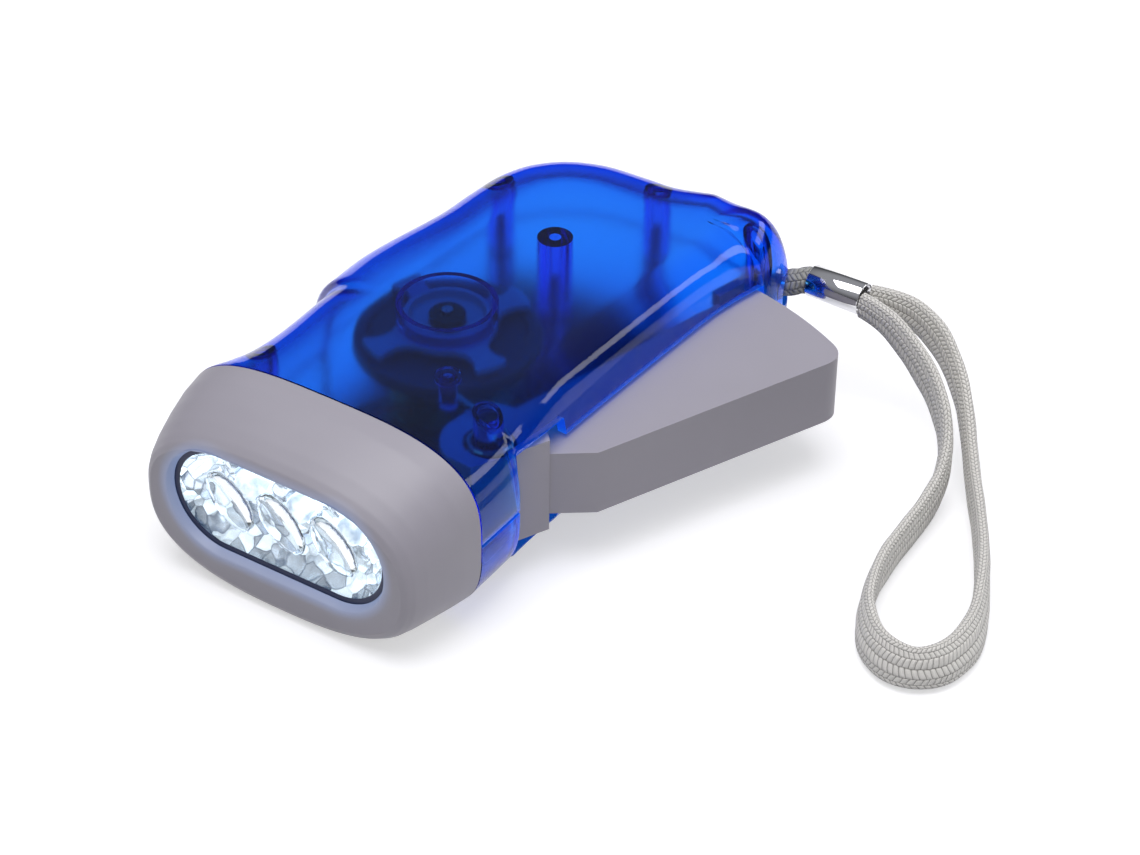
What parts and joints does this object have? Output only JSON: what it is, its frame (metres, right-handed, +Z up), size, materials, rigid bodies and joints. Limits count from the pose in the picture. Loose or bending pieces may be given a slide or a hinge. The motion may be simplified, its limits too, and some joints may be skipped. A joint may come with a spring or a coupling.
{
  "type": "hand crank flashlight",
  "caption": "Pocket dynamo torch: clear blue shell, grey head with oval lens and LEDs, squeeze lever on one side, gear train and generator inside, wrist strap.",
  "frame": {"origin": "on the generator's rotor axis, at the height of the flat lower shell the torch lies on", "axes": "+Z up through the lying torch, light shines along -Y, the lever swings out on the +X side"},
  "size_m": [0.1281, 0.11, 0.0346],
  "materials": {
    "shell": "clear blue, glossy",
    "grey_plastic": "satin warm grey, fine grain",
    "clear_lens": "clear and glossy",
    "reflector_metal": "bright metallised facets",
    "led_resin": "clear cast resin",
    "board": "green solder mask",
    "steel": "plain turned and stamped",
    "white_plastic": "moulded, natural white",
    "black_plastic": "moulded, black",
    "brass": "plain",
    "copper": "enamelled copper wire",
    "magnet": "dark sintered ferrite",
    "cell_steel": "pressed can",
    "red_lead": "insulated wire",
    "black_lead": "insulated wire",
    "chrome": "mirror bright",
    "webbing": "flat woven braid, pale grey",
    "dark_braid": "woven braid, dark grey"
  },
  "bodies": {
    "torch_body": {"upper_shell": "shell", "lower_shell": "shell", "head_bezel": "grey_plastic", "front_lens": "clear_lens", "reflector": "reflector_metal", "led_board": "board", "led_left": "led_resin", "led_center": "led_resin", "led_right": "led_resin", "lever_pivot_pin": "steel", "return_spring": "steel", "first_gear_axle": "steel", "clutch_axle": "steel", "generator_plate": "steel", "stator_lower_claws": "steel", "stator_upper_claws": "steel", "coil_bobbin": "black_plastic", "coil_winding": "copper", "bearing_bracket": "white_plastic", "cell_1": "cell_steel", "cell_2": "cell_steel", "cell_3": "cell_steel", "cell_holder": "black_plastic", "cell_contact_left": "brass", "cell_contact_right": "brass", "cell_lead_plus": "red_lead", "cell_lead_minus": "black_lead", "coil_lead_left": "black_lead", "coil_lead_right": "red_lead", "strap_tail": "dark_braid", "strap_sleeve": "chrome", "strap_loop": "webbing", "shell_screw_1": "steel", "shell_screw_2": "steel", "shell_screw_3": "steel", "shell_screw_4": "steel", "shell_screw_5": "steel", "plate_screw_1": "steel", "plate_screw_2": "steel"},
    "lever_body": {"lever": "grey_plastic"},
    "first_gear_body": {"first_gear": "white_plastic"},
    "clutch_pinion_body": {"clutch_pinion": "white_plastic"},
    "clutch_wheel_body": {"clutch_wheel": "white_plastic"},
    "rotor": {"rotor_axle": "steel", "rotor_pinion": "brass", "rotor_magnet": "magnet", "flywheel": "black_plastic"}
  },
  "joints": [
    {"name": "lever_squeeze", "type": "hinge", "parent": "torch_body", "child": "lever_body", "pos_m": [0.022, -0.0204, 0], "axis": [0, 0, 1], "range_deg": [0, 20], "stiffness_Nm_per_rad": 0.35, "springref_deg": -14.32, "deforming": ["return_spring"]},
    {"name": "first_gear_turn", "type": "hinge", "parent": "torch_body", "child": "first_gear_body", "pos_m": [0.00231, -0.01151, 0], "axis": [0, 0, 1], "range_deg": [-95, 5]},
    {"name": "clutch_pinion_turn", "type": "hinge", "parent": "torch_body", "child": "clutch_pinion_body", "pos_m": [-0.00867, -0.00773, 0], "axis": [0, 0, 1], "range_deg": [-15, 285]},
    {"name": "rotor_spin", "type": "hinge", "parent": "torch_body", "child": "rotor", "pos_m": [0, 0, 0], "axis": [0, 0, 1], "continuous": true},
    {"name": "clutch_wheel_spin", "type": "hinge", "parent": "torch_body", "child": "clutch_wheel_body", "pos_m": [-0.00867, -0.00773, 0], "axis": [0, 0, 1], "continuous": true}
  ],
  "couplings": [
    {"joint": "first_gear_turn", "follows": "lever_squeeze", "ratio": -4.375},
    {"joint": "clutch_pinion_turn", "follows": "lever_squeeze", "ratio": 13.125},
    {"joint": "clutch_wheel_spin", "follows": "rotor_spin", "ratio": -0.33333}
  ]
}
